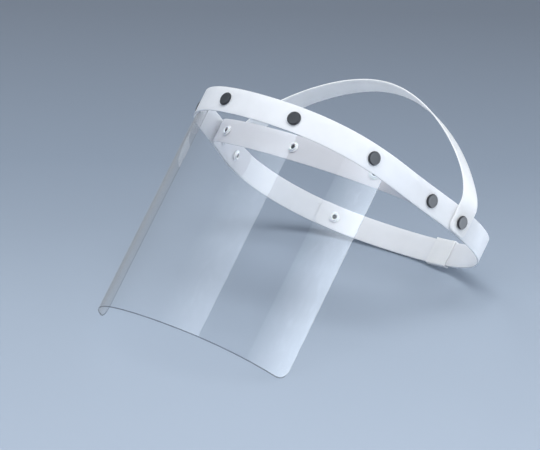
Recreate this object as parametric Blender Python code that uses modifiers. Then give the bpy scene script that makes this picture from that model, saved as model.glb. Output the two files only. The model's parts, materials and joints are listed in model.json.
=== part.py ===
"""Face shield: a clear visor snapped inside a white plastic strap ring, with an inner brow band,
a sweat pad, a crown strap that tilts on its two snaps, and a keeper loop that slides on the rear
overlap.

Frame: +Z up, -Y to the front of the wearer, +X to the wearer's left. The origin is on the centre
plane, at the middle of the face of the sweat pad's middle snap cap. Lengths below are in
millimetres and are scaled to metres where meshes and placements are made. Ring angles are in
degrees from the front, positive to the left. Arc distances run along a curve from the centre
plane. Offsets and seats are measured outward from the middle of the ring's outer layer.
"""
import math

import bmesh
import bpy
from mathutils import Matrix, Vector

MM = 0.001

# ---------------------------------------------------------------- driving dimensions (mm)
BAND_W = 20.0          # width of the ring and brow straps
BAND_T = 1.0           # thickness of the ring, brow and crown straps
GAP = 0.3              # air between neighbouring layers
INNER = -(BAND_T + GAP)  # middle of the layer inside the ring

# Ring: its radius is a sum of harmonics of the ring angle
RING_MEAN = 117.4      # mean radius
RING_SHIFT = -19.5     # first harmonic: pushes the ring to the rear
RING_OVAL = 10.0       # second harmonic: long front to back
RING_SQUARE = 3.9      # third harmonic: flattens the brow
RING_CORNER = -5.9     # fourth harmonic: squares the corners
RING_END_CORNER = 4.0  # rounded corners of the strap's ends
TAIL_INNER = 212.0     # ring angle where the inner tail starts
TAIL_OUTER = -209.0    # ring angle where the outer tail ends
STEP_INNER = 147.0     # the strap is fully in the inner layer from this ring angle on
STEP_OUTER = 127.0     # and fully in the outer layer below this one

# Visor
VISOR_T = 0.5
VISOR_TOP = 7.0        # upper edge above the ring's mid height
VISOR_DROP = 176.0     # lower edge below the ring's mid height
VISOR_HALF = 115.0     # half width along the curve
VISOR_CORNER = 9.0     # rounded lower corners

# Brow band
BROW_END = 223.0       # arc distance of its ends, inside the ring
BROW_LEAVE = 156.0     # arc distance where it leaves the ring
BROW_REST_Y = -45.0    # its front
BROW_SAG = -4.0        # height of its front, against the ring's
BROW_PULL = 28.0       # Bezier handle along the ring where it leaves
BROW_FLAT = 60.0       # Bezier handle along X at its front
BROW_CORNER = 6.0

# Sweat pad
PAD_HALF = 87.0        # half length along the brow band
PAD_T = 2.4
PAD_W = 17.0
PAD_CORNER = 7.0
PAD_SNAP = 72.0        # spacing of its three snaps
PAD_CAP_LIFT = 0.45    # the flat caps clear the hollow face of the curved pad by this much

# Crown strap
CROWN_W = 20.0
CROWN_RISE = 88.3      # height of the arch
CROWN_FOOT = 0.25      # handle above the straight foot, as a part of the rise left
CROWN_TOP = 0.483      # handle out over the head, as a part of the half width
CROWN_LEAN = -0.5      # degrees about X; negative leans the top to the rear
CROWN_CLEAR = 0.5      # air on each side of the strap's ends, so that it can tilt
CROWN_CORNER = 5.0
FOOT_DROP = 9.5        # the straight foot reaches this far below the ring's mid height
FOOT_TOP = 13.0        # and this far above it
TWIST_FROM = 8.0       # the strap starts turning from the ring's wall to the Y axis here
TWIST_RISE = 34.0      # and turns over this height

# Keeper loop
KEEPER_AT = 162.0      # ring angle
KEEPER_LEN = 21.0
KEEPER_WALL = 0.8
KEEPER_CLEAR = 0.4
KEEPER_SEGMENTS = 4

# Snaps
SNAP_BROW = 32.7       # arc distances of the four snap pairs
SNAP_SIDE = 99.3
SNAP_TEMPLE = 165.7
SNAP_CROWN = 200.0
REAR_SNAP = -154.0     # ring angle of the size snap
CAP_R = 5.3
CAP_H = 1.7
# cap's side from its face to its flange: parts of the cap's radius and height
CAP_SIDE = [(0.80, 1.0), (0.95, 0.78), (1.0, 0.45), (0.97, 0.0)]
STEM_R = 1.6
STEM_SHORT = 0.35      # the stem stops this far inside the socket's end
SOCKET_R = 4.3
SOCKET_H = 1.8
SOCKET_RIM = 0.45      # straight part of the socket's side, as a part of its height
SOCKET_TAPER = 0.72    # radius of the socket's end, as a part of its radius
SOCKET_CLEAR = 0.45    # air between a ring snap's socket and the layers it holds
HOLE_R = 2.1
HOLE_DEPTH = 8.0
PAD_HOLE_DEPTH = 12.0
CROWN_HOLE_R = 2.6
CROWN_HOLE_DEPTH = 14.0
ROUND_STEPS = 16       # segments around snaps and holes

# Where caps and sockets sit against the layers
RING_CAP_SEAT = BAND_T / 2 + GAP
CROWN_SEAT = BAND_T / 2 + CROWN_CLEAR + BAND_T / 2     # middle of the crown strap's end
CROWN_CAP_SEAT = CROWN_SEAT + BAND_T / 2 + CROWN_CLEAR
VISOR_SEAT = -(BAND_T / 2 + GAP + VISOR_T) - SOCKET_CLEAR
BROW_SEAT = INNER - BAND_T / 2 - SOCKET_CLEAR
PAD_INNER = BAND_T / 2 + GAP + PAD_T                   # pad's inner face, from the brow band
PAD_CAP_SEAT = PAD_INNER + PAD_CAP_LIFT

# Sampling of the curves before the straps are swept
ARC_STEP = 0.25        # degrees
RING_STEP = 0.5        # degrees
BROW_TUCKED_STEPS = 40
BROW_BEND_STEPS = 60
PAD_STEPS = 120
FOOT_STEPS = 8
CROWN_BEND_STEPS = 48

# ---------------------------------------------------------------- looks
STRAP_LOOK = dict(colour=(0.86, 0.88, 0.91), roughness=0.45)
KEEPER_LOOK = dict(colour=(0.86, 0.88, 0.91), roughness=0.4)
CAP_LOOK = dict(colour=(0.02, 0.021, 0.024), roughness=0.35)
SOCKET_LOOK = dict(colour=(0.80, 0.81, 0.83), roughness=0.3)
PAD_LOOK = dict(colour=(0.62, 0.62, 0.67), roughness=0.9)
VISOR_LOOK = dict(colour=(0.93, 0.96, 1.0), roughness=0.05, alpha=0.25, transmission=1.0)


def material(name, colour, roughness, alpha=1.0, transmission=0.0):
    made = bpy.data.materials.new(name)
    made.use_nodes = True
    inputs = made.node_tree.nodes["Principled BSDF"].inputs
    inputs["Base Color"].default_value = (*colour, 1.0)
    inputs["Roughness"].default_value = roughness
    inputs["Metallic"].default_value = 0.0
    inputs["Alpha"].default_value = alpha
    inputs["Transmission Weight"].default_value = transmission
    return made


# ---------------------------------------------------------------- scene
for old in list(bpy.data.objects):
    bpy.data.objects.remove(old, do_unlink=True)
for old in list(bpy.data.collections):
    bpy.data.collections.remove(old)

shield = bpy.data.collections.new("face_shield")
cutters = bpy.data.collections.new("cutters")
bpy.context.scene.collection.children.link(shield)
bpy.context.scene.collection.children.link(cutters)


def add_object(name, mesh_name, bm, collection):
    mesh = bpy.data.meshes.new(mesh_name)
    bm.to_mesh(mesh)
    bm.free()
    obj = bpy.data.objects.new(name, mesh)
    collection.objects.link(obj)
    return obj


def add_piece(name, bm, look):
    """A piece of the shield, with its own material."""
    obj = add_object(name, name, bm, shield)
    obj.data.materials.append(material(name + "_material", **look))
    return obj


def add_joint(name, centre):
    """An empty at the centre of a moving piece's joint."""
    joint = bpy.data.objects.new(name, None)
    shield.objects.link(joint)
    joint.location = centre * MM
    return joint


def placement(centre, direction):
    """Matrix that puts a piece at centre, with its Z along direction."""
    turn = direction.to_track_quat("Z", "Y").to_matrix().to_4x4()
    return Matrix.Translation(centre * MM) @ turn


# ---------------------------------------------------------------- curve helpers
def smooth(t):
    t = max(0.0, min(1.0, t))
    return t * t * (3 - 2 * t)


def running_lengths(points):
    lengths = [0.0]
    for start, end in zip(points, points[1:]):
        lengths.append(lengths[-1] + (end - start).length)
    return lengths


def locate(lengths, distance):
    """Segment that holds a distance along a polyline, and the fraction of it passed."""
    last = len(lengths) - 2
    i = next((i for i in range(last) if distance <= lengths[i + 1]), last)
    return i, (distance - lengths[i]) / max(lengths[i + 1] - lengths[i], 1e-9)


def bezier(start, handle_1, handle_2, end, t):
    return (start * (1 - t) ** 3 + handle_1 * 3 * t * (1 - t) ** 2
            + handle_2 * 3 * t * t * (1 - t) + end * t ** 3)


def mirrored(half):
    """A path from its left half, whose last point is on the centre plane."""
    return half + [Vector((-p.x, p.y, p.z)) for p in reversed(half[:-1])]


def ring_point(deg, offset=0.0):
    """Point of the ring's middle line pushed out by offset, and the outward normal there."""
    def plain(a):
        r = (RING_MEAN + RING_SHIFT * math.cos(a) + RING_OVAL * math.cos(2 * a)
             + RING_SQUARE * math.cos(3 * a) + RING_CORNER * math.cos(4 * a))
        return Vector((r * math.sin(a), -r * math.cos(a), 0))
    angle = math.radians(deg)
    tangent = (plain(angle + 1e-4) - plain(angle - 1e-4)).normalized()
    outward = Vector((tangent.y, -tangent.x, 0))
    return plain(angle) + outward * offset, outward


RING_ARC = running_lengths([ring_point(step * ARC_STEP)[0]
                            for step in range(round(180 / ARC_STEP) + 1)])


def angle_at(arc):
    """Ring angle at a signed arc distance from the centre plane."""
    i, fraction = locate(RING_ARC, abs(arc))
    return math.copysign((i + fraction) * ARC_STEP, arc)


# ---------------------------------------------------------------- solids
def corner_inset(distance, total, corner):
    """How far a rounded corner draws the edge in, at a distance along a strip of length total."""
    from_end = min(distance, total - distance)
    if from_end >= corner:
        return 0.0
    return corner - math.sqrt(max(corner ** 2 - (corner - from_end) ** 2, 0.0))


def strap_stations(total, step, corner):
    """Distances along a strap: even steps, with extra ones in the rounded corners."""
    ends = [corner * (1 - math.cos(math.radians(a))) for a in (0, 30, 60, 90)]
    flat = total - 2 * corner
    count = max(1, round(flat / step))
    even = [corner + flat * k / count for k in range(count + 1)]
    return sorted({round(v, 4) for v in ends + even + [total - v for v in ends]})


def surface(name, rows, thickness, look, closed=False):
    """A surface through rows of points, thickened evenly to both sides; closed joins row ends."""
    bm = bmesh.new()
    vert_rows = [[bm.verts.new(point * MM) for point in row] for row in rows]
    width = len(rows[0])
    for row, following in zip(vert_rows, vert_rows[1:]):
        for i in range(width if closed else width - 1):
            j = (i + 1) % width
            bm.faces.new((row[i], following[i], following[j], row[j]))
    obj = add_piece(name, bm, look)
    solid = obj.modifiers.new("thickness", "SOLIDIFY")
    solid.thickness = thickness * MM
    solid.offset = 0.0
    solid.use_even_offset = True
    return obj


def upright(_):
    return Vector((0, 0, 1))


def strap(name, path, width, thickness, step, corner, look, across=upright):
    """A flat strap along path, its middle line; across(point) is the unit vector of its width."""
    lengths = running_lengths(path)
    stations = strap_stations(lengths[-1], step, corner)
    rows = []
    for station in stations:
        i, fraction = locate(lengths, station)
        middle = path[i].lerp(path[i + 1], fraction)
        half = width / 2 - corner_inset(station, stations[-1], corner)
        side = across(middle)
        rows.append((middle - side * half, middle + side * half))
    return surface(name, rows, thickness, look)


def hole(target, centre, direction, radius=HOLE_R, depth=HOLE_DEPTH, parent=None):
    """A round hole through target, along direction."""
    bm = bmesh.new()
    bmesh.ops.create_cone(bm, cap_ends=True, segments=ROUND_STEPS, radius1=radius * MM,
                          radius2=radius * MM, depth=depth * MM)
    cutter = add_object("cut_" + target.name, "cutter", bm, cutters)
    cutter.parent = parent
    cutter.matrix_basis = placement(centre, direction)
    cutter.hide_render = True
    cutter.display_type = "WIRE"
    cut = target.modifiers.new("hole", "BOOLEAN")
    cut.operation = "DIFFERENCE"
    cut.solver = "EXACT"
    cut.object = cutter


def turned(name, profile, centre, direction, look, closed=False):
    """A turned piece from a profile of (radius, height), top to bottom on its outer side."""
    bm = bmesh.new()
    verts = [bm.verts.new((radius * MM, 0, height * MM)) for radius, height in profile]
    for start, end in zip(verts, verts[1:]):
        bm.edges.new((start, end))
    if closed:
        bm.edges.new((verts[-1], verts[0]))
    obj = add_piece(name, bm, look)
    obj.matrix_world = placement(centre, direction)
    screw = obj.modifiers.new("turn", "SCREW")
    screw.steps = screw.render_steps = ROUND_STEPS
    screw.use_merge_vertices = True
    screw.merge_threshold = 0.00001


def snap(label, centre, outward, cap_seat, socket_seat):
    """A cap with its stem, and a socket around the stem.

    Heights run along outward from centre: the cap's flange sits at cap_seat and the socket's
    face at socket_seat, on the other side of the layers that they hold."""
    socket_end = socket_seat - SOCKET_H
    tip = socket_end + STEM_SHORT
    bore = STEM_R + GAP
    cap = [(0, cap_seat + CAP_H)]
    cap += [(CAP_R * out, cap_seat + CAP_H * up) for out, up in CAP_SIDE]
    cap += [(STEM_R, cap_seat), (STEM_R, tip), (0, tip)]
    turned("cap_" + label, cap, centre, outward, CAP_LOOK)
    socket = [(bore, socket_seat), (SOCKET_R, socket_seat),
              (SOCKET_R, socket_seat - SOCKET_H * SOCKET_RIM),
              (SOCKET_R * SOCKET_TAPER, socket_end), (bore, socket_end)]
    turned("socket_" + label, socket, centre, outward, SOCKET_LOOK, closed=True)


# ---------------------------------------------------------------- ring strap
def build_outer_band():
    """One strip around the head; its inner tail steps in, so that the tails overlap at the rear."""
    path = []
    for k in range(round((TAIL_INNER - TAIL_OUTER) / RING_STEP) + 1):
        angle = TAIL_INNER - k * RING_STEP
        layer = INNER * smooth((angle - STEP_OUTER) / (STEP_INNER - STEP_OUTER))
        path.append(ring_point(angle, layer)[0])
    return strap("outer_band", path, BAND_W, BAND_T, step=6.0, corner=RING_END_CORNER,
                 look=STRAP_LOOK)


# ---------------------------------------------------------------- brow band and sweat pad
def make_brow_path():
    """Middle line from left to right: inside the ring, then across the brow."""
    end = angle_at(BROW_END)
    leave = angle_at(BROW_LEAVE)
    half = [ring_point(end + (leave - end) * k / BROW_TUCKED_STEPS, INNER)[0]
            for k in range(BROW_TUCKED_STEPS)]
    start, outward = ring_point(leave, INNER)
    forward = Vector((outward.y, -outward.x, 0))
    front = Vector((0, BROW_REST_Y, 0))
    for k in range(BROW_BEND_STEPS + 1):
        point = bezier(start, start + forward * BROW_PULL, Vector((BROW_FLAT, BROW_REST_Y, 0)),
                       front, k / BROW_BEND_STEPS)
        point.z = BROW_SAG * smooth((start.y - point.y) / (start.y - BROW_REST_Y))
        half.append(point)
    return mirrored(half)


BROW_PATH = make_brow_path()
BROW_LENGTHS = running_lengths(BROW_PATH)


def brow_at(arc):
    """Point of the brow band at an arc distance, positive to the left, and its front normal."""
    i, fraction = locate(BROW_LENGTHS, BROW_LENGTHS[-1] / 2 - arc)
    along = BROW_PATH[i + 1] - BROW_PATH[i]
    normal = Vector((-along.y, along.x, 0)).normalized()
    return BROW_PATH[i].lerp(BROW_PATH[i + 1], fraction), (normal if normal.y < 0 else -normal)


def build_brow_band():
    return strap("brow_band", BROW_PATH, BAND_W, BAND_T, step=6.0, corner=BROW_CORNER,
                 look=STRAP_LOOK)


def build_sweat_pad():
    """The pad lies against the inner face of the brow band."""
    offset = BAND_T / 2 + GAP + PAD_T / 2
    path = []
    for k in range(PAD_STEPS + 1):
        point, front = brow_at(PAD_HALF - 2 * PAD_HALF * k / PAD_STEPS)
        path.append(point - front * offset)
    return strap("sweat_pad", path, PAD_W, PAD_T, step=7.0, corner=PAD_CORNER, look=PAD_LOOK)


# ---------------------------------------------------------------- visor
def build_visor():
    """A curved sheet inside the ring, with its lower corners rounded."""
    layer = -(BAND_T / 2 + GAP + VISOR_T / 2)
    width = 2 * VISOR_HALF
    rows = []
    for station in strap_stations(width, step=5.0, corner=VISOR_CORNER):
        point, _ = ring_point(angle_at(station - VISOR_HALF), layer)
        bottom = -VISOR_DROP + corner_inset(station, width, VISOR_CORNER)
        rows.append([Vector((point.x, point.y, z)) for z in (bottom, VISOR_TOP)])
    return surface("visor", rows, VISOR_T, VISOR_LOOK)


# ---------------------------------------------------------------- crown strap
CROWN_MID, CROWN_OUT = ring_point(angle_at(SNAP_CROWN))    # at the left crown snap


def crown_across(point):
    """Width direction: along the ring's wall at the feet, and along Y over the head."""
    wall_turn = math.atan2(CROWN_OUT.y, CROWN_OUT.x)
    turn = wall_turn * (1 - smooth((abs(point.z) - TWIST_FROM) / TWIST_RISE))
    return Vector((-math.sin(turn) * (1 if point.x > 0 else -1), math.cos(turn), 0))


def build_crown_strap():
    """An arch over the head, on the joint through the two crown snaps."""
    axis = add_joint("crown_axis", Vector((0, CROWN_MID.y, 0)))
    foot = CROWN_MID + CROWN_OUT * CROWN_SEAT
    # Laid out in the XZ plane: a straight foot, then one smooth bend to the top
    half = [Vector((foot.x, 0, -FOOT_DROP + (FOOT_TOP + FOOT_DROP) * k / FOOT_STEPS))
            for k in range(FOOT_STEPS + 1)]
    bend = (Vector((foot.x, 0, FOOT_TOP)),
            Vector((foot.x, 0, FOOT_TOP + CROWN_FOOT * (CROWN_RISE - FOOT_TOP))),
            Vector((foot.x * CROWN_TOP, 0, CROWN_RISE)),
            Vector((0, 0, CROWN_RISE)))
    half += [bezier(*bend, k / CROWN_BEND_STEPS) for k in range(1, CROWN_BEND_STEPS + 1)]
    obj = strap("crown_strap", mirrored(half), CROWN_W, BAND_T, step=5.0, corner=CROWN_CORNER,
                look=STRAP_LOOK, across=crown_across)
    # Lean it, and place it against its joint
    obj.data.transform(Matrix.Translation(Vector((0, foot.y - CROWN_MID.y, 0)) * MM)
                       @ Matrix.Rotation(math.radians(CROWN_LEAN), 4, "X"))
    obj.parent = axis
    return obj


# ---------------------------------------------------------------- keeper loop
def centre_of_curve(deg):
    """Centre of the circle through three ring points around an angle."""
    a, b, c = (ring_point(deg + turn)[0] for turn in (-5, 0, 5))
    a2, b2, c2 = (point.length_squared for point in (a, b, c))
    scale = 2 * (a.x * (b.y - c.y) + b.x * (c.y - a.y) + c.x * (a.y - b.y))
    x = (a2 * (b.y - c.y) + b2 * (c.y - a.y) + c2 * (a.y - b.y)) / scale
    y = (a2 * (c.x - b.x) + b2 * (a.x - c.x) + c2 * (b.x - a.x)) / scale
    return Vector((x, y, 0))


def build_keeper_loop():
    """A rectangular loop around both tails, on a joint at the rear curve's centre."""
    centre = centre_of_curve(KEEPER_AT)
    axis = add_joint("keeper_axis", centre)
    arm = ring_point(KEEPER_AT)[0] - centre
    radius = arm.length
    middle_turn = math.atan2(arm.y, arm.x)
    spare = KEEPER_CLEAR + KEEPER_WALL / 2
    outer = BAND_T / 2 + spare
    inner = INNER - BAND_T / 2 - spare
    top = BAND_W / 2 + spare
    section = [(outer, -top), (outer, top), (inner, top), (inner, -top)]    # (offset, z)
    rows = []
    for k in range(KEEPER_SEGMENTS + 1):
        turn = middle_turn + KEEPER_LEN / radius * (k / KEEPER_SEGMENTS - 0.5)
        rows.append([Vector(((radius + offset) * math.cos(turn),
                             (radius + offset) * math.sin(turn), z)) for offset, z in section])
    obj = surface("keeper_loop", rows, KEEPER_WALL, KEEPER_LOOK, closed=True)
    obj.parent = axis


# ---------------------------------------------------------------- snaps and their holes
def ring_snap(label, deg, cap_seat, socket_seat, targets):
    centre, outward = ring_point(deg)
    snap(label, centre, outward, cap_seat, socket_seat)
    for target in targets:
        hole(target, centre, outward)


def build_ring_snaps(outer_band, brow_band, visor):
    # place, arc distance, cap seat, socket seat, piece held inside the ring
    pairs = [
        ("brow", SNAP_BROW, RING_CAP_SEAT, VISOR_SEAT, visor),
        ("side", SNAP_SIDE, RING_CAP_SEAT, VISOR_SEAT, visor),
        ("temple", SNAP_TEMPLE, RING_CAP_SEAT, BROW_SEAT, brow_band),
        ("crown", SNAP_CROWN, CROWN_CAP_SEAT, BROW_SEAT, brow_band),
    ]
    for side, sign in (("left", 1), ("right", -1)):
        for place, arc, cap_seat, socket_seat, held in pairs:
            ring_snap(f"{place}_{side}", sign * angle_at(arc), cap_seat, socket_seat,
                      [outer_band, held])
    ring_snap("size", REAR_SNAP, RING_CAP_SEAT, BROW_SEAT, [outer_band])


def cut_crown_strap(crown_strap):
    """The strap's own holes, which move with its joint."""
    for sign in (1, -1):
        hole(crown_strap, Vector((sign * CROWN_MID.x, 0, 0)),
             Vector((sign * CROWN_OUT.x, CROWN_OUT.y, 0)),
             CROWN_HOLE_R, CROWN_HOLE_DEPTH, parent=crown_strap.parent)


def build_pad_snaps(brow_band, sweat_pad):
    """Caps against the pad, sockets on the front of the brow band."""
    for place, arc in (("left", PAD_SNAP), ("middle", 0.0), ("right", -PAD_SNAP)):
        point, front = brow_at(arc)
        snap("pad_" + place, point, -front, PAD_CAP_SEAT, -(BAND_T / 2 + GAP))
        hole(brow_band, point, front)
        hole(sweat_pad, point, front, depth=PAD_HOLE_DEPTH)


def move_to_origin():
    """Bring the face of the pad's middle cap to the origin; children follow their joints."""
    origin = Vector((0, BROW_REST_Y + PAD_CAP_SEAT + CAP_H, BROW_SAG))
    for obj in list(shield.objects) + list(cutters.objects):
        if obj.parent is None:
            obj.location -= origin * MM


def build_shield():
    outer_band = build_outer_band()
    brow_band = build_brow_band()
    sweat_pad = build_sweat_pad()
    visor = build_visor()
    crown_strap = build_crown_strap()
    build_keeper_loop()
    build_ring_snaps(outer_band, brow_band, visor)
    cut_crown_strap(crown_strap)
    build_pad_snaps(brow_band, sweat_pad)
    move_to_origin()


build_shield()
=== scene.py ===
"""A face shield: ring strap, brow band with sweat pad, clear visor, crown strap, keeper and snaps.

The wearer looks along -Y, +X is the wearer's left and +Z is up. Pieces are worked out in
millimetres about the middle of the ring strap, then moved by ORIGIN into the CAD's frame.
The table is tilted in that frame, so that the shield rests on its visor and the ring's rear.
"""

import json
import math
from bisect import bisect_right

import bmesh
import bpy
from mathutils import Matrix, Vector

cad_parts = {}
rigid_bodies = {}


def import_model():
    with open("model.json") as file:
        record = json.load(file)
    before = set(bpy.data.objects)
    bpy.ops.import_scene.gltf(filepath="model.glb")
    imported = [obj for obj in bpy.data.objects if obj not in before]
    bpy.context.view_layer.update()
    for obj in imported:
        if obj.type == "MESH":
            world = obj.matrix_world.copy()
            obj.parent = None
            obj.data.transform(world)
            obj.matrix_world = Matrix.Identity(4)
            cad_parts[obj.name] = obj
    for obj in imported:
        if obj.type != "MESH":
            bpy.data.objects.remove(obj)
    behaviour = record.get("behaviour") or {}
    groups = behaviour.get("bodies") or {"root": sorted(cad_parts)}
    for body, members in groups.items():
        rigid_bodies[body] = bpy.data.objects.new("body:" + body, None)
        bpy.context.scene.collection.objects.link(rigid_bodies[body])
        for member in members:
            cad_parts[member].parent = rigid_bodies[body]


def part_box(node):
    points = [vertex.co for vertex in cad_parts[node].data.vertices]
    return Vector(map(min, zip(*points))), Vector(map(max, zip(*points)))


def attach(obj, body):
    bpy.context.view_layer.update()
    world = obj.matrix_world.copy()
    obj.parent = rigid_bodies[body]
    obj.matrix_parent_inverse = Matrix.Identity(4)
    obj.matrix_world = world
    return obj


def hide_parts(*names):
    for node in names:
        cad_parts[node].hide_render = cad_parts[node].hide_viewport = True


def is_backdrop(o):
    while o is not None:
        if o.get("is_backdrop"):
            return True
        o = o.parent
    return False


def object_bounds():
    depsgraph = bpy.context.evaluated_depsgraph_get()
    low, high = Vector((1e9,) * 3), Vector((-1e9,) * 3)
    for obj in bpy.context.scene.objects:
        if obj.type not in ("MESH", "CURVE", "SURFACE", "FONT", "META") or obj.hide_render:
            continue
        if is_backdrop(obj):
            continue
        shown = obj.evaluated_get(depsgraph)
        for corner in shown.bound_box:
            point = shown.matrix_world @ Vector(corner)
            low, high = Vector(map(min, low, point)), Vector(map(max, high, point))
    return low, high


for old in list(bpy.data.objects):
    bpy.data.objects.remove(old, do_unlink=True)

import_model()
CAD_LOW, CAD_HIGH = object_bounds()
MM = 0.001

# ------------------------------------------------------------------ sizes (mm)
BAND_W, BAND_T = 20.0, 1.0          # section of all three straps
BAND_EDGE = 0.28                    # bevel of the straps' edges
GAP = 0.3                           # between neighbouring layers
INNER = -(BAND_T + GAP)             # layer just inside the ring strap
# the ring's radius in plan: its mean, then the cosine terms of 1, 2, 3 and 4 times the angle
RING_MEAN, RING_COSINES = 117.4, (-19.5, 10.0, 3.9, -5.9)

# angles round the ring (degrees from the front, positive towards +X)
TAIL_INNER, TAIL_OUTER = 212.0, -209.0       # ends of the ring strap, overlapping at the rear
TAIL_STEP_START, TAIL_STEP_END = 127.0, 147.0    # where the strap steps to the inner layer
REAR_SNAP, KEEPER_AT = -154.0, 162.0

# arc lengths along the ring from its front
SNAP_BROW, SNAP_SIDE, SNAP_TEMPLE, SNAP_CROWN = 32.7, 99.3, 165.7, 200.0
BROW_END, BROW_LEAVE = 223.0, 156.0          # the brow band's end, and where it leaves the ring

BROW_REST_Y, BROW_SAG = -45.0, -4.0          # y and z of the brow band's middle
BROW_LEAD, BROW_FLAT = 28.0, 60.0            # reach of its curve's handles, at the ring and middle
PAD_HALF, PAD_T, PAD_W, PAD_CORNER = 87.0, 2.4, 17.0, 7.0
PAD_SNAP = 72.0                              # from the pad's middle, along the brow band

VISOR_T, VISOR_TOP, VISOR_DROP, VISOR_HALF = 0.5, 7.0, 176.0, 115.0
VISOR_CORNER, VISOR_TOP_CORNER = 9.0, 3.0
VISOR_CUT = 0.8                              # height of the lowest strip, painted with the cut edge's dark shade

CROWN_RISE, CROWN_LEAN, CROWN_CLEAR = 88.3, -0.5, 0.5     # the lean is in degrees
CROWN_LOW, CROWN_STRAIGHT = -9.5, 13.0       # z of each upright end, bottom and top
CROWN_FOOT, CROWN_TOP = 0.25, 0.483          # curve handles, as shares of the rise and half span

KEEPER_LEN, KEEPER_WALL, KEEPER_CLEAR, KEEPER_CORNER = 21.0, 0.8, 0.4, 0.35

CAP_R, CAP_H, STEM_R, SOCKET_R, SOCKET_H = 5.27, 1.67, 1.6, 4.3, 1.8
HOLE_R, CROWN_HOLE_R = 2.1, 2.6
SNAP_CLEAR = 0.45                            # between a sheet and the snap part against it


# ------------------------------------------------------------------ the ring's curve
def ring_point(degrees, offset=0.0):
    """Point, tangent and outward normal of the ring; offset moves the point outwards."""
    def plan(angle):
        radius = RING_MEAN + sum(c * math.cos((i + 1) * angle) for i, c in enumerate(RING_COSINES))
        return Vector((radius * math.sin(angle), -radius * math.cos(angle), 0))
    angle = math.radians(degrees)
    tangent = (plan(angle + 1e-4) - plan(angle - 1e-4)).normalized()
    outward = Vector((tangent.y, -tangent.x, 0))
    return plan(angle) + outward * offset, tangent, outward


# the ring's front face and the visor's lower edge fix the ring's middle in the CAD's frame
ORIGIN = Vector((0,
                 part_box("outer_band")[0].y / MM - (ring_point(0)[0].y - BAND_T / 2),
                 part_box("visor")[0].z / MM + VISOR_DROP))


def path_lengths(path):
    lengths = [0.0]
    for start, stop in zip(path, path[1:]):
        lengths.append(lengths[-1] + (stop - start).length)
    return lengths


ARC_STEP = 0.125     # degrees
ARC_LENGTHS = path_lengths([ring_point(step * ARC_STEP)[0] for step in range(1441)])


def angle_at(arc):
    """Ring angle in degrees at an arc length from the front."""
    low = min(bisect_right(ARC_LENGTHS, abs(arc)) - 1, len(ARC_LENGTHS) - 2)
    part = (abs(arc) - ARC_LENGTHS[low]) / (ARC_LENGTHS[low + 1] - ARC_LENGTHS[low])
    return math.copysign((low + part) * ARC_STEP, arc)


def smooth(t):
    t = max(0.0, min(1.0, t))
    return t * t * (3 - 2 * t)


def cubic(start, leave, arrive, end, t):
    """Point of a cubic Bezier curve."""
    return (start * (1 - t) ** 3 + leave * 3 * t * (1 - t) ** 2
            + arrive * 3 * t * t * (1 - t) + end * t ** 3)


# ------------------------------------------------------------------ material helpers
class Shader:
    """A node material. An input is given a number or the socket that feeds it."""

    def __init__(self, name):
        self.material = bpy.data.materials.new(name)
        self.material.use_nodes = True
        self.tree = self.material.node_tree
        self.principled = self.tree.nodes["Principled BSDF"]

    def feed(self, socket, value):
        if isinstance(value, bpy.types.NodeSocket):
            self.tree.links.new(value, socket)
        else:
            socket.default_value = value

    def fill(self, node, **values):
        """Sets properties or, with _ for a space, inputs by name."""
        for key, value in values.items():
            if hasattr(node, key):
                setattr(node, key, value)
            else:
                self.feed(node.inputs[key.replace("_", " ")], value)

    def add(self, kind, *inputs, **values):
        """A new node, its first inputs given in order and the rest by name."""
        node = self.tree.nodes.new("ShaderNode" + kind)
        self.fill(node, **values)
        for socket, value in zip(node.inputs, inputs):
            self.feed(socket, value)
        return node

    def surface(self, **values):
        self.fill(self.principled, **values)

    def show(self, node):
        self.tree.links.new(node.outputs[0], self.tree.nodes["Material Output"].inputs["Surface"])

    def mix(self, factor, first, second):
        """Shows a mix of two shader nodes."""
        self.show(self.add("MixShader", factor, first.outputs["BSDF"], second.outputs["BSDF"]))

    def math(self, operation, first, second):
        return self.add("Math", first, second, operation=operation).outputs["Value"]

    def coords(self, scale=(1, 1, 1)):
        place = self.add("TexCoord").outputs["Object"]
        return self.add("Mapping", Scale=scale, Vector=place).outputs["Vector"]

    def noise(self, scale, detail=4.0, roughness=0.5, stretch=(1, 1, 1)):
        return self.add("TexNoise", Scale=scale, Detail=detail, Roughness=roughness,
                        Vector=self.coords(stretch)).outputs["Fac"]

    def ramp(self, factor, *stops):
        """Stops are (position, colour), and a single number for the colour is a grey."""
        node = self.add("ValToRGB", Fac=factor)
        elements = node.color_ramp.elements
        while len(elements) < len(stops):
            elements.new(0.5)
        for element, (position, colour) in zip(elements, stops):
            element.position = position
            element.color = (*(colour if isinstance(colour, tuple) else (colour,) * 3), 1.0)
        return node.outputs["Color"]

    def bump(self, **values):
        return self.add("Bump", **values).outputs["Normal"]


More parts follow.
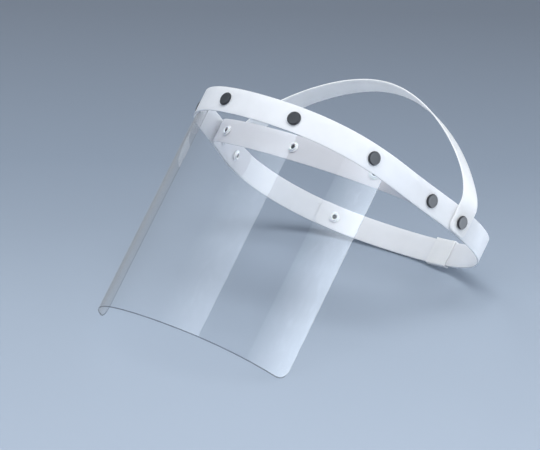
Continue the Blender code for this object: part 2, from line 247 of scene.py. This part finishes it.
# ------------------------------------------------------------------ materials
def strap_material(name, tint=(0.90, 0.915, 0.945), scatter=0.25, through=0.24,
                   grain=(22, 22, 900)):
    """Milky polyethylene strip: calendering lines, slight mottle and fine scuffs."""
    shader = Shader(name)
    mottle = shader.noise(scale=38.0, detail=5.0, roughness=0.6)
    lines = shader.noise(scale=1.0, detail=3.0, roughness=0.55, stretch=grain)
    scuff = shader.noise(scale=620.0, detail=2.0, roughness=0.7, stretch=(0.22, 0.22, 1.0))
    darker = tuple(c * 0.955 for c in tint)
    lighter = tuple(min(1, c * 1.03) for c in tint)
    colour = shader.ramp(mottle, (0.30, darker), (0.52, tint), (0.75, lighter))
    line_bump = shader.bump(Height=lines, Strength=0.07, Distance=0.00008)
    shader.surface(
        Base_Color=colour,
        Roughness=shader.ramp(scuff, (0.35, 0.38), (0.6, 0.46), (0.78, 0.58)),
        IOR=1.49,
        Subsurface_Weight=scatter,
        Subsurface_Radius=(1.0, 1.0, 1.1),
        Subsurface_Scale=0.0022,
        Normal=shader.bump(Height=scuff, Strength=0.04, Distance=0.00005, Normal=line_bump))
    # light falling on one side of the thin strip glows through to the other
    glow = shader.add("BsdfTranslucent", Color=colour)
    shader.mix(through, shader.principled, glow)
    return shader.material


def visor_material():
    """Thin clear sheet: see-through, with Fresnel reflection and faint scuffs."""
    shader = Shader("visor_clear")
    shader.tree.nodes.remove(shader.principled)
    see = shader.add("BsdfTransparent", Color=(0.977, 0.982, 0.988, 1))
    wave = shader.noise(scale=9.0, detail=2.0, roughness=0.4, stretch=(1, 1, 0.25))
    shine = shader.add("BsdfGlossy", Roughness=0.035,
                       Normal=shader.bump(Height=wave, Strength=0.05, Distance=0.003))
    fresnel = shader.add("Fresnel", IOR=1.57).outputs["Fac"]
    scuff = shader.noise(scale=260.0, detail=3.0, roughness=0.7, stretch=(1, 1, 0.4))
    haze = shader.ramp(scuff, (0.50, 0.0), (0.80, 0.04))
    # both skins of the sheet reflect, so the outer one carries about twice the reflection,
    # up to a limit, and the inner one none
    doubled = shader.math("MULTIPLY", fresnel, 1.8)
    capped = shader.math("MINIMUM", doubled, 0.6)
    reflection = shader.math("ADD", capped, haze)
    backfacing = shader.add("NewGeometry").outputs["Backfacing"]
    front_only = shader.math("SUBTRACT", 1.0, backfacing)
    shader.mix(shader.math("MULTIPLY", reflection, front_only), see, shine)
    return shader.material


def visor_edge_material():
    """The cut edge of the sheet, where light leaves it: painted a half see-through dark blue-grey for
    the shade the edge shows.
    """
    shader = Shader("visor_edge")
    vary = shader.noise(scale=60.0, detail=3.0)
    shader.surface(
        Base_Color=shader.ramp(vary, (0.3, (0.012, 0.020, 0.040)), (0.7, (0.035, 0.050, 0.085))),
        Roughness=0.25,
        Alpha=0.42)
    return shader.material


def cap_material():
    """Black plastic with a fine grain."""
    shader = Shader("snap_black")
    speck = shader.noise(scale=1500.0, detail=3.0, roughness=0.6)
    broad = shader.noise(scale=120.0, detail=2.0)
    shader.surface(
        Base_Color=shader.ramp(broad, (0.3, (0.019, 0.021, 0.025)), (0.7, (0.030, 0.033, 0.039))),
        Roughness=shader.ramp(speck, (0.35, 0.30), (0.7, 0.46)),
        Normal=shader.bump(Height=speck, Strength=0.22, Distance=0.00006))
    return shader.material


def socket_material():
    """White plastic, slightly glossy."""
    shader = Shader("snap_white")
    speck = shader.noise(scale=900.0, detail=3.0, roughness=0.6)
    shader.surface(
        Base_Color=shader.ramp(speck, (0.3, (0.72, 0.73, 0.75)), (0.7, (0.86, 0.87, 0.88))),
        Roughness=shader.ramp(speck, (0.35, 0.24), (0.7, 0.36)),
        Normal=shader.bump(Height=speck, Strength=0.12, Distance=0.00005),
        Subsurface_Weight=0.1,
        Subsurface_Scale=0.001)
    return shader.material


def foam_material():
    """Fine closed-cell foam."""
    shader = Shader("pad_foam")
    cells = shader.add("TexVoronoi", Scale=1300.0, Vector=shader.coords()).outputs["Distance"]
    broad = shader.noise(scale=70.0)
    cell_bump = shader.bump(Height=cells, Strength=0.55, Distance=0.00035)
    shader.surface(
        Base_Color=shader.ramp(broad, (0.3, (0.50, 0.50, 0.56)), (0.7, (0.62, 0.62, 0.68))),
        Roughness=0.9,
        Sheen_Weight=0.25,
        Normal=shader.bump(Height=broad, Strength=0.3, Distance=0.0008, Normal=cell_bump))
    return shader.material


STRAP = strap_material("strap_white")
CROWN = strap_material("crown_white", tint=(0.985, 0.988, 0.992), scatter=0.3, through=0.36,
                       grain=(22, 900, 22))
# the brow band's tint is darkened and turned slightly purple as painted shade, the shade it lies in
# inside the ring
BROW = strap_material("brow_shaded", tint=(0.80, 0.80, 0.835), through=0.22)
KEEPER = strap_material("keeper_white", tint=(0.92, 0.935, 0.96), scatter=0.45, through=0.15)
VISOR = visor_material()
VISOR_EDGE_SHADE = visor_edge_material()
CAP = cap_material()
SOCKET = socket_material()
FOAM = foam_material()


# ------------------------------------------------------------------ mesh helpers
def new_object(name, bm, *materials, smooth_shaded=True):
    mesh = bpy.data.meshes.new(name)
    bm.normal_update()
    bm.to_mesh(mesh)
    bm.free()
    for material in materials:
        mesh.materials.append(material)
    obj = bpy.data.objects.new(name, mesh)
    bpy.context.scene.collection.objects.link(obj)
    if smooth_shaded:
        mesh.shade_smooth()
    return obj


def place(obj, slot, body="headband"):
    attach(obj, body)
    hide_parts(obj.name.removeprefix("shown_"))


def add_vert(bm, point):
    """A vertex at a point given in mm about the ring's middle."""
    return bm.verts.new((point + ORIGIN) * MM)


def skin(bm, rows, flip=False):
    """Quads between neighbouring rows of vertices."""
    faces = []
    for near, far in zip(rows, rows[1:]):
        for corners in zip(near, far, far[1:], near[1:]):
            if flip:
                corners = corners[:1] + corners[:0:-1]
            faces.append(bm.faces.new(corners))
    return faces


def thicken(obj, thickness, rim_slot=0):
    solidify = obj.modifiers.new("thickness", "SOLIDIFY")
    solidify.thickness = thickness * MM
    solidify.offset = 0.0
    solidify.use_even_offset = True
    solidify.material_offset_rim = rim_slot


def soften(obj, width, segments, degrees):
    """Bevels the edges that are sharper than an angle."""
    bevel = obj.modifiers.new("edge", "BEVEL")
    bevel.width = width * MM
    bevel.segments = segments
    bevel.limit_method = "ANGLE"
    bevel.angle_limit = math.radians(degrees)


def freeze(obj):
    """Applies obj's modifiers, so that the mesh is final."""
    depsgraph = bpy.context.evaluated_depsgraph_get()
    mesh = bpy.data.meshes.new_from_object(obj.evaluated_get(depsgraph))
    obj.modifiers.clear()
    obj.data = mesh


def arc_stations(total, step, corner):
    """Stations along a strip: close together in its rounded ends, evenly spaced between."""
    ends = [corner * (1 - math.cos(math.radians(a))) for a in range(0, 91, 10)]
    count = max(1, round((total - 2 * corner) / step))
    middle = [corner + (total - 2 * corner) * k / count for k in range(count + 1)]
    return sorted(set([round(v, 4) for v in ends + middle] + [round(total - v, 4) for v in ends]))


def corner_inset(from_end, radius):
    """How far a rounded corner draws a strip's edge in, at a distance from its end."""
    if from_end >= radius:
        return 0.0
    return radius - math.sqrt(max(radius ** 2 - (radius - from_end) ** 2, 0.0))


def upward(_):
    return Vector((0, 0, 1))


def strap(name, path, material, step, corner, across=upward):
    """A strip along path with rounded corners and softened edges, five vertices across."""
    least_half = 0.9
    skin_trim = 0.006
    lengths = path_lengths(path)
    total = lengths[-1]
    rows, i = [], 0
    bm = bmesh.new()
    for station in arc_stations(total, step, corner):
        while i < len(path) - 2 and lengths[i + 1] < station:
            i += 1
        part = (station - lengths[i]) / max(lengths[i + 1] - lengths[i], 1e-9)
        point = path[i].lerp(path[i + 1], max(0.0, min(1.0, part)))
        inset = corner_inset(min(station, total - station), corner)
        half = max(BAND_W / 2 - inset, least_half)
        side = across(point)
        rows.append([add_vert(bm, point + side * half * v) for v in (-1, -0.5, 0, 0.5, 1)])
    skin(bm, rows)
    obj = new_object(name, bm, material)
    thicken(obj, BAND_T - skin_trim)
    soften(obj, BAND_EDGE, segments=3, degrees=50)
    freeze(obj)
    return obj


def turned(name, profile, centre, direction, *materials, closed=False):
    """A turned piece from (radius, height) pairs along its axis, top to bottom outside."""
    steps = 56
    bm = bmesh.new()
    turn = direction.to_track_quat("Z", "Y").to_matrix()
    loops = []
    for radius, height in profile:
        if radius < 1e-6:
            loops.append([add_vert(bm, centre + turn @ Vector((0, 0, height)))])
            continue
        loop = []
        for k in range(steps):
            angle = 2 * math.pi * k / steps
            spoke = Vector((radius * math.cos(angle), radius * math.sin(angle), height))
            loop.append(add_vert(bm, centre + turn @ spoke))
        loops.append(loop)
    if closed:
        loops.append(loops[0])
    for top, low in zip(loops, loops[1:]):
        for k in range(steps):
            j = (k + 1) % steps
            if len(top) == 1:
                bm.faces.new((top[0], low[k], low[j]))
            elif len(low) == 1:
                bm.faces.new((top[k], low[0], top[j]))
            else:
                bm.faces.new((top[k], low[k], low[j], top[j]))
    bmesh.ops.recalc_face_normals(bm, faces=bm.faces)
    obj = new_object(name, bm, *materials)
    obj.data.set_sharp_from_angle(angle=math.radians(38))
    return obj


def rounded(points, radius, steps=4):
    """Rounds every corner between the ends of an open (radius, height) profile."""
    out = [points[0]]
    for triple in zip(points, points[1:], points[2:]):
        before, corner, after = (Vector(p) for p in triple)
        back, ahead = before - corner, after - corner
        reach = min(radius, back.length * 0.45, ahead.length * 0.45)
        start = corner + back.normalized() * reach
        stop = corner + ahead.normalized() * reach
        for k in range(steps + 1):
            t = k / steps
            point = start * (1 - t) ** 2 + corner * 2 * t * (1 - t) + stop * t * t
            out.append((point.x, point.y))
    out.append(points[-1])
    return out


# ------------------------------------------------------------------ ring strap
def ring_path():
    """From the inner tail round the front to the outer tail."""
    step = 0.25     # degrees
    path = []
    for k in range(round((TAIL_INNER - TAIL_OUTER) / step) + 1):
        angle = TAIL_INNER - step * k
        inward = smooth((angle - TAIL_STEP_START) / (TAIL_STEP_END - TAIL_STEP_START))
        path.append(ring_point(angle, INNER * inward)[0])
    return path


ring = strap("shown_outer_band", ring_path(), STRAP, step=1.6, corner=4.0)
place(ring, "strap_white")


# ------------------------------------------------------------------ brow band
def brow_half():
    """The +X half: along the ring's inside, then across to the brow's middle."""
    leave, end = angle_at(BROW_LEAVE), angle_at(BROW_END)
    half = [ring_point(end + (leave - end) * k / 80, INNER)[0] for k in range(80)]
    start, tangent, _ = ring_point(leave, INNER)
    for k in range(141):
        point = cubic(start, start - tangent * BROW_LEAD, Vector((BROW_FLAT, BROW_REST_Y, 0)),
                      Vector((0, BROW_REST_Y, 0)), k / 140)
        point.z = BROW_SAG * smooth((start.y - point.y) / (start.y - BROW_REST_Y))
        half.append(point)
    return half


half = brow_half()
brow_path = half + [Vector((-v.x, v.y, v.z)) for v in reversed(half[:-1])]
place(strap("shown_brow_band", brow_path, BROW, step=1.8, corner=6.0), "strap_white")
brow_lengths = path_lengths(brow_path)


def brow_at(arc):
    """Point and forward normal of the brow band, at an arc from its middle towards +X."""
    along = brow_lengths[-1] / 2 - arc
    i = next(k for k in range(len(brow_path) - 1) if along <= brow_lengths[k + 1])
    part = (along - brow_lengths[i]) / (brow_lengths[i + 1] - brow_lengths[i])
    run = brow_path[i + 1] - brow_path[i]
    front = Vector((-run.y, run.x, 0)).normalized()
    return brow_path[i].lerp(brow_path[i + 1], part), (front if front.y < 0 else -front)


# ------------------------------------------------------------------ sweat pad
def pad_thickness(arc, z, rim):
    """Puffed up away from its rim, drawn in at the three snaps and slightly rippled."""
    edge_share = 0.35                          # thickness at the rim, as a share of PAD_T
    rim_fall, dimple_spread = 1.1, 38.0        # mm, mm squared
    dimple_depth, ripple_height, most_over = 0.45, 0.10, 0.25
    puff = 1 - math.exp(-rim / rim_fall)
    dimple = sum(math.exp(-((arc - at) ** 2 + z ** 2) / dimple_spread)
                 for at in (-PAD_SNAP, 0.0, PAD_SNAP))
    ripple = ripple_height * math.sin(arc * 0.34 + 0.7 * math.sin(arc * 0.11)) * puff
    thickness = ((PAD_T * edge_share + PAD_T * (1 - edge_share) * puff)
                 - dimple_depth * dimple * puff + ripple * (1 - min(1, dimple)))
    return min(thickness, PAD_T + most_over)


def sweat_pad():
    """A soft strip behind the brow band: a front skin, a rear skin and the rim between."""
    columns, across = 150, 22
    bm = bmesh.new()
    skins = []
    for rear in (False, True):
        grid = []
        for i in range(columns + 1):
            arc = PAD_HALF - 2 * PAD_HALF * i / columns
            point, front = brow_at(arc)
            from_end = PAD_HALF - abs(arc)
            half_height = PAD_W / 2 - corner_inset(from_end, PAD_CORNER)
            row = []
            for j in range(across + 1):
                z = half_height * (-1 + 2 * j / across)
                thickness = pad_thickness(arc, z, min(half_height - abs(z), from_end))
                away = BAND_T / 2 + GAP + (thickness if rear else 0.0)
                row.append(add_vert(bm, point - front * away + Vector((0, 0, z))))
            grid.append(row)
        skins.append(grid)
    skin(bm, skins[0], flip=True)
    skin(bm, skins[1])
    border = ([(i, 0) for i in range(columns)] + [(columns, j) for j in range(across)]
              + [(i, across) for i in range(columns, 0, -1)] + [(0, j) for j in range(across, 0, -1)])
    near, far = skins
    for (i, j), (k, m) in zip(border, border[1:] + border[:1]):
        bm.faces.new((near[i][j], near[k][m], far[k][m], far[i][j]))
    bmesh.ops.recalc_face_normals(bm, faces=bm.faces)
    return new_object("shown_sweat_pad", bm, FOAM)


place(sweat_pad(), "pad_foam")


# ------------------------------------------------------------------ visor
def visor_sheet():
    """A sheet hung from the inside of the ring's front, with rounded corners."""
    layer = -(BAND_T / 2 + GAP + VISOR_T / 2)
    total = 2 * VISOR_HALF
    bm = bmesh.new()
    rows = []
    for station in arc_stations(total, 1.5, VISOR_CORNER):
        from_end = min(station, total - station)
        low = -VISOR_DROP + corner_inset(from_end, VISOR_CORNER)
        high = VISOR_TOP - corner_inset(from_end, VISOR_TOP_CORNER)
        point = ring_point(angle_at(station - VISOR_HALF), layer)[0]
        levels = [low, low + VISOR_CUT] + [low + (high - low) * k / 16 for k in range(1, 17)]
        rows.append([add_vert(bm, Vector((point.x, point.y, z))) for z in levels])
    for face in skin(bm, rows)[::len(rows[0]) - 1]:
        face.material_index = 1      # the lowest strip is painted with the cut edge's dark shade
    obj = new_object("shown_visor", bm, VISOR, VISOR_EDGE_SHADE)
    # the rim faces are painted with the edge's dark shade too
    thicken(obj, VISOR_T, rim_slot=1)
    freeze(obj)
    return obj


visor = visor_sheet()
place(visor, "visor_clear")
visor.visible_shadow = False       # a clear sheet hardly darkens the table
visor.data.set_sharp_from_angle(angle=math.radians(50))

# ------------------------------------------------------------------ crown strap
CROWN_SEAT = BAND_T + CROWN_CLEAR
ring_side, _, crown_out = ring_point(angle_at(SNAP_CROWN))
foot = ring_side + crown_out * CROWN_SEAT


def crown_path():
    """Up from the +X foot, over the head and down to the -X foot, in the plane y = 0."""
    upright = CROWN_STRAIGHT - CROWN_LOW
    half = [Vector((foot.x, 0, CROWN_LOW + upright * k / 16)) for k in range(17)]
    handle_z = CROWN_STRAIGHT + CROWN_FOOT * (CROWN_RISE - CROWN_STRAIGHT)
    bend = (Vector((foot.x, 0, CROWN_STRAIGHT)), Vector((foot.x, 0, handle_z)),
            Vector((foot.x * CROWN_TOP, 0, CROWN_RISE)), Vector((0, 0, CROWN_RISE)))
    half += [cubic(*bend, k / 120) for k in range(1, 121)]
    return half + [Vector((-v.x, 0, v.z)) for v in reversed(half[:-1])]


def crown_across(point):
    """Turned to lie along the ring at the feet, and straight along Y further up."""
    twist_from, twist_over = 8.0, 34.0
    yaw = math.atan2(crown_out.y, crown_out.x)
    turn = yaw * (1 - smooth((abs(point.z) - twist_from) / twist_over))
    return Vector((-math.sin(turn) * (1 if point.x > 0 else -1), math.cos(turn), 0))


crown = strap("shown_crown_strap", crown_path(), CROWN, step=1.6, corner=5.0, across=crown_across)
lean = Matrix.Rotation(math.radians(CROWN_LEAN), 4, "X")
crown.data.transform(Matrix.Translation((ORIGIN + Vector((0, foot.y, 0))) * MM)
                     @ lean @ Matrix.Translation(-ORIGIN * MM))
place(crown, "strap_white", "crown")


# ------------------------------------------------------------------ keeper loop
def centre_of_curve(degrees):
    """Centre of the circle through three neighbouring points of the ring."""
    points = [ring_point(degrees + d)[0] for d in (-5, 0, 5)]
    cycles = list(zip(points, points[1:] + points[:1], points[2:] + points[:2]))
    scale = 2 * sum(p.x * (q.y - r.y) for p, q, r in cycles)
    return Vector((sum(p.length_squared * (q.y - r.y) for p, q, r in cycles) / scale,
                   sum(p.length_squared * (r.x - q.x) for p, q, r in cycles) / scale, 0))


def keeper_section():
    """Mid line of the wall round both strap layers, as (outward, z) pairs."""
    clear = KEEPER_CLEAR + KEEPER_WALL / 2
    outer = BAND_T / 2 + clear - KEEPER_CORNER
    inner = INNER - BAND_T / 2 - clear + KEEPER_CORNER
    top = BAND_W / 2 + clear - KEEPER_CORNER
    corners = []
    for out, z, start in ((outer, top, 0), (inner, top, 90), (inner, -top, 180), (outer, -top, -90)):
        for k in range(5):
            angle = math.radians(start + 90 * k / 4)
            corners.append((out + KEEPER_CORNER * math.cos(angle),
                            z + KEEPER_CORNER * math.sin(angle)))
    section = []
    for (out, z), (next_out, next_z) in zip(corners, corners[1:] + corners[:1]):
        # the flat sides are cut into lengths of about 2 mm
        count = max(1, int(math.hypot(next_out - out, next_z - z) / 2.0))
        section += [(out + (next_out - out) * k / count, z + (next_z - z) * k / count)
                    for k in range(count)]
    return section


def keeper_loop():
    """A rectangular sleeve bent to the ring's curve."""
    centre, middle = centre_of_curve(KEEPER_AT), ring_point(KEEPER_AT)[0]
    radius = (middle - centre).length
    middle_angle = math.atan2(middle.y - centre.y, middle.x - centre.x)
    section = keeper_section()
    bm = bmesh.new()
    loops = []
    for k in range(17):
        angle = middle_angle + KEEPER_LEN / radius * (k / 16 - 0.5)
        loop = [add_vert(bm, Vector((centre.x + (radius + out) * math.cos(angle),
                                     centre.y + (radius + out) * math.sin(angle), z)))
                for out, z in section]
        loops.append(loop + loop[:1])
    skin(bm, loops)
    bmesh.ops.recalc_face_normals(bm, faces=bm.faces)
    obj = new_object("shown_keeper_loop", bm, KEEPER)
    thicken(obj, KEEPER_WALL)
    soften(obj, 0.2, segments=2, degrees=60)
    freeze(obj)
    return obj


keeper = keeper_loop()
place(keeper, "keeper_white", "keeper")

# ------------------------------------------------------------------ snaps
# the sheets that each kind of snap passes through
BORED = {
    "brow": ("outer_band", "visor"),
    "side": ("outer_band", "visor"),
    "temple": ("outer_band", "brow_band"),
    "crown": ("outer_band", "brow_band", "crown_strap"),
    "size": ("outer_band",),
    "pad": ("brow_band", "sweat_pad"),
}
stems = []     # label, centre, direction, and the low and high ends of the bore

# seats, measured along the snap's direction from the middle of its sheet
FACE_SEAT = BAND_T / 2 + GAP
VISOR_SEAT = -(FACE_SEAT + VISOR_T) - SNAP_CLEAR
BROW_SEAT = INNER - BAND_T / 2 - SNAP_CLEAR
CROWN_CAP_SEAT = CROWN_SEAT + BAND_T / 2 + CROWN_CLEAR


def snap(label, centre, outward, cap_seat, socket_seat):
    """Cap with a dished face and rolled rim, and a socket with a raised collar and open middle."""
    tip = socket_seat - SOCKET_H + 0.35
    stems.append((label, centre, outward, tip - 0.6, cap_seat + 0.5))
    top = cap_seat + CAP_H
    # radius, height
    cap_profile = rounded([
        (0, top - 0.10), (CAP_R * 0.55, top - 0.08), (CAP_R * 0.74, top), (CAP_R * 0.86, top),
        (CAP_R, top - 0.75), (CAP_R, cap_seat + 0.25), (CAP_R * 0.95, cap_seat),
        (STEM_R, cap_seat), (STEM_R, tip + 0.3), (STEM_R * 0.7, tip), (0, tip)], 0.35)
    cap = turned("shown_cap_" + label, cap_profile, centre, outward, CAP)
    place(cap, "snap_black")
    low = socket_seat - SOCKET_H
    bore_r = STEM_R + GAP
    socket_profile = rounded([
        (bore_r, socket_seat - 0.05), (SOCKET_R - 0.1, socket_seat), (SOCKET_R, socket_seat - 0.55),
        (SOCKET_R * 0.86, socket_seat - 0.75), (SOCKET_R * 0.74, socket_seat - 0.80),
        (SOCKET_R * 0.70, low + 0.05), (SOCKET_R * 0.58, low), (bore_r + 0.15, low + 0.12),
        (bore_r, low + 0.45)], 0.16, steps=3)
    socket = turned("shown_socket_" + label, socket_profile, centre, outward, SOCKET, closed=True)
    place(socket, "snap_white")


def ring_snap(label, degrees, cap_seat, socket_seat):
    centre, _, outward = ring_point(degrees)
    snap(label, centre, outward, cap_seat, socket_seat)


def bore(target, centre, axis, radius, low, high):
    """Cuts a round hole and keeps its rim crisp."""
    cutter = turned("cutter", [(0, high), (radius, high), (radius, low), (0, low)], centre, axis)
    bpy.context.view_layer.update()
    cutter.matrix_world = target.matrix_world.copy()
    hole = target.modifiers.new("hole", "BOOLEAN")
    hole.operation = "DIFFERENCE"
    hole.solver = "EXACT"
    hole.object = cutter
    freeze(target)
    bpy.data.objects.remove(cutter)
    axis = axis.normalized()
    on_rim = []
    for vert in target.data.vertices:
        arm = vert.co / MM - ORIGIN - centre
        height = arm.dot(axis)
        on_rim.append(abs((arm - axis * height).length - radius) < 0.03 and abs(height) < 9.0)
    for edge in target.data.edges:
        if on_rim[edge.vertices[0]] and on_rim[edge.vertices[1]]:
            edge.use_edge_sharp = True


for side, sign in (("left", 1), ("right", -1)):
    for kind, arc, cap_seat, socket_seat in (
            ("brow_", SNAP_BROW, FACE_SEAT, VISOR_SEAT),
            ("side_", SNAP_SIDE, FACE_SEAT, VISOR_SEAT),
            ("temple_", SNAP_TEMPLE, FACE_SEAT, BROW_SEAT),
            ("crown_", SNAP_CROWN, CROWN_CAP_SEAT, BROW_SEAT)):
        ring_snap(kind + side, sign * angle_at(arc), cap_seat, socket_seat)
ring_snap("size", REAR_SNAP, FACE_SEAT, BROW_SEAT)
# the pad's caps face the wearer
for label, arc in (("pad_left", PAD_SNAP), ("pad_middle", 0.0), ("pad_right", -PAD_SNAP)):
    point, front = brow_at(arc)
    snap(label, point, -front, FACE_SEAT + PAD_T + SNAP_CLEAR, -FACE_SEAT)

for label, centre, outward, low, high in stems:
    for node in BORED[label.split("_")[0]]:
        radius = CROWN_HOLE_R if node == "crown_strap" else HOLE_R
        bore(bpy.data.objects["shown_" + node], centre, outward, radius, low, high)

# ------------------------------------------------------------------ camera
AZIMUTH, ELEVATION, ROLL = (math.radians(a) for a in (37.02, -11.73, 26.22))
CAM_SHIFT_RIGHT, CAM_SHIFT_UP, CAM_DISTANCE = 40.789, 42.947, 2238.37     # mm
away = Vector((math.sin(AZIMUTH) * math.cos(ELEVATION), -math.cos(AZIMUTH) * math.cos(ELEVATION),
               math.sin(ELEVATION)))
level = Vector((math.cos(AZIMUTH), math.sin(AZIMUTH), 0))
over = away.cross(level).normalized()
cam_right = level * math.cos(ROLL) + over * math.sin(ROLL)
cam_up = over * math.cos(ROLL) - level * math.sin(ROLL)
cam_at = (away * CAM_DISTANCE - cam_right * CAM_SHIFT_RIGHT - cam_up * CAM_SHIFT_UP + ORIGIN) * MM
cam = bpy.data.objects.new("camera", bpy.data.cameras.new("camera"))
bpy.context.scene.collection.objects.link(cam)
cam.data.sensor_width = 36.0
cam.data.lens = 195.812
cam.matrix_world = Matrix([(*axes, place_) for *axes, place_ in zip(cam_right, cam_up, away, cam_at)]
                          + [(0, 0, 0, 1)])
cam.data.clip_start, cam.data.clip_end = 0.05, 60.0
bpy.context.scene.camera = cam

# ------------------------------------------------------------------ table (m)
visor_points = [v.co.copy() for v in visor.data.vertices]
rear_points = [v.co.copy() for piece in (ring, keeper) for v in piece.data.vertices]


def resting_normal():
    """Normal of the plane that touches both the visor and the rear of the ring."""
    low, high = math.radians(5), math.radians(80)
    for _ in range(40):
        tilt = (low + high) / 2
        normal = Vector((0, -math.sin(tilt), math.cos(tilt)))
        if min(normal.dot(p) for p in visor_points) < min(normal.dot(p) for p in rear_points):
            low = tilt
        else:
            high = tilt
    return normal


table_up = resting_normal()
table_height = min(table_up.dot(p) for p in visor_points + rear_points) - 0.0004
# along the table: the camera's forward direction and its left
depth = (-away - table_up * (-away).dot(table_up)).normalized()
leftward = table_up.cross(depth)
middle = (CAD_LOW + CAD_HIGH) / 2
foot_point = middle - table_up * (table_up.dot(middle) - table_height)


def table_material():
    """Blue-grey, darker from near to far: painted shading for the light falling off across the table.
    """
    shader = Shader("table")
    geometry = shader.add("NewGeometry")
    offset = shader.add("VectorMath", geometry.outputs["Position"], foot_point,
                        operation="SUBTRACT").outputs["Vector"]
    distance = shader.add("VectorMath", offset, depth, operation="DOT_PRODUCT").outputs["Value"]
    fade = shader.add("MapRange", Value=distance, From_Min=-0.45, From_Max=0.75)
    # the colour ramp paints the light's fall-off from near to far
    shader.surface(
        Base_Color=shader.ramp(
            fade.outputs["Result"],
            (0.0, (0.372, 0.434, 0.524)), (0.35, (0.308, 0.364, 0.442)),
            (0.62, (0.210, 0.254, 0.318)), (1.0, (0.148, 0.174, 0.216))),
        Roughness=0.55,
        Specular_IOR_Level=0.25)
    # clear from below, so that the object can be looked at from any side
    hide = shader.add("BsdfTransparent")
    shader.mix(geometry.outputs["Backfacing"], shader.principled, hide)
    return shader.material


bm = bmesh.new()
bmesh.ops.create_grid(bm, x_segments=4, y_segments=4, size=9.0)
table = new_object("table", bm, table_material(), smooth_shaded=False)
axis_x = Vector((1, 0, 0))
basis = Matrix((axis_x, table_up.cross(axis_x), table_up)).transposed().to_4x4()
table.matrix_world = Matrix.Translation(foot_point) @ basis
table.visible_glossy = False       # reflections see the panels behind it
table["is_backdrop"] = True


# ------------------------------------------------------------------ soft boxes
# name; metres above the middle, towards the camera and to its left; size; watts; colour
SOFT_BOXES = (
    ("side", (1.1, 0.9, -1.6), (1.2, 1.2), 14.0, (0.98, 0.99, 1.0)),
    ("key", (1.7, 0.35, -0.25), (1.3, 1.0), 24.5, (1.0, 0.995, 0.985)),
    ("fill", (1.6, 1.5, 1.1), (1.8, 1.4), 12.0, (0.97, 0.985, 1.0)),
    ("rim", (1.0, -1.5, 0.9), (1.0, 1.0), 9.0, (0.95, 0.98, 1.0)),
)
for name, (above, toward, left), (width, height), power, colour in SOFT_BOXES:
    light = bpy.data.lights.new(name, "AREA")
    light.shape = "RECTANGLE"
    light.size, light.size_y = width, height
    light.energy, light.color = power, colour
    box = bpy.data.objects.new(name, light)
    bpy.context.scene.collection.objects.link(box)
    at = middle + table_up * above - depth * toward + leftward * left
    turn = (at - middle).to_track_quat("Z", "Y").to_matrix().to_4x4()
    box.matrix_world = Matrix.Translation(at) @ turn
    box.visible_glossy = box.visible_camera = False


# ------------------------------------------------------------------ reflection panels
def panel_material(name, strength, fade):
    """Pale blue glow, its level faded along the panel."""
    shader = Shader(name)
    shader.tree.nodes.remove(shader.principled)
    uv = shader.add("UVMap", uv_map="u").outputs["UV"]
    along = shader.add("SeparateXYZ", Vector=uv).outputs["X"]
    power = shader.math("MULTIPLY", shader.ramp(along, *fade), strength)
    shader.show(shader.add("Emission", Color=(0.82, 0.90, 1.0, 1), Strength=power))
    return shader.material


def panel(name, start, stop, strength, fade):
    """A tall curved panel between two plan angles from the front, seen only in reflections."""
    columns, radius, bottom, top = 40, 1.5, -0.9, 1.8
    bm = bmesh.new()
    uv = bm.loops.layers.uv.new("u")
    rows = []
    for k in range(columns + 1):
        angle = math.radians(start + (stop - start) * k / columns)
        x, y = radius * math.sin(angle), -radius * math.cos(angle)
        rows.append([bm.verts.new((x, y, z)) for z in (bottom, top)])
    for k, face in enumerate(skin(bm, rows)):
        for loop, column in zip(face.loops, (k, k + 1, k + 1, k)):
            loop[uv].uv = (column / columns, 0.5)
    obj = new_object(name, bm, panel_material(name, strength, fade), smooth_shaded=False)
    obj.visible_camera = obj.visible_diffuse = obj.visible_transmission = False
    obj.visible_shadow = obj.visible_volume_scatter = False
    obj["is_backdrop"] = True


# fade: (place along the panel, level)
panel("panel_left", start=-178.0, stop=0.5, strength=2.8,
      fade=((0.0, 0.17), (0.55, 0.17), (0.80, 0.36), (0.93, 0.85), (0.99, 1.0)))
panel("panel_right", start=60.0, stop=176.0, strength=5.2,
      fade=((0.0, 0.16), (0.16, 0.42), (0.40, 0.95), (1.0, 1.0)))

world = bpy.data.worlds.new("studio")
bpy.context.scene.world = world
world.use_nodes = True
background = world.node_tree.nodes["Background"]
background.inputs["Color"].default_value = (0.60, 0.66, 0.74, 1)
background.inputs["Strength"].default_value = 0.50
bpy.context.scene.view_settings.view_transform = "Standard"

low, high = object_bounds()
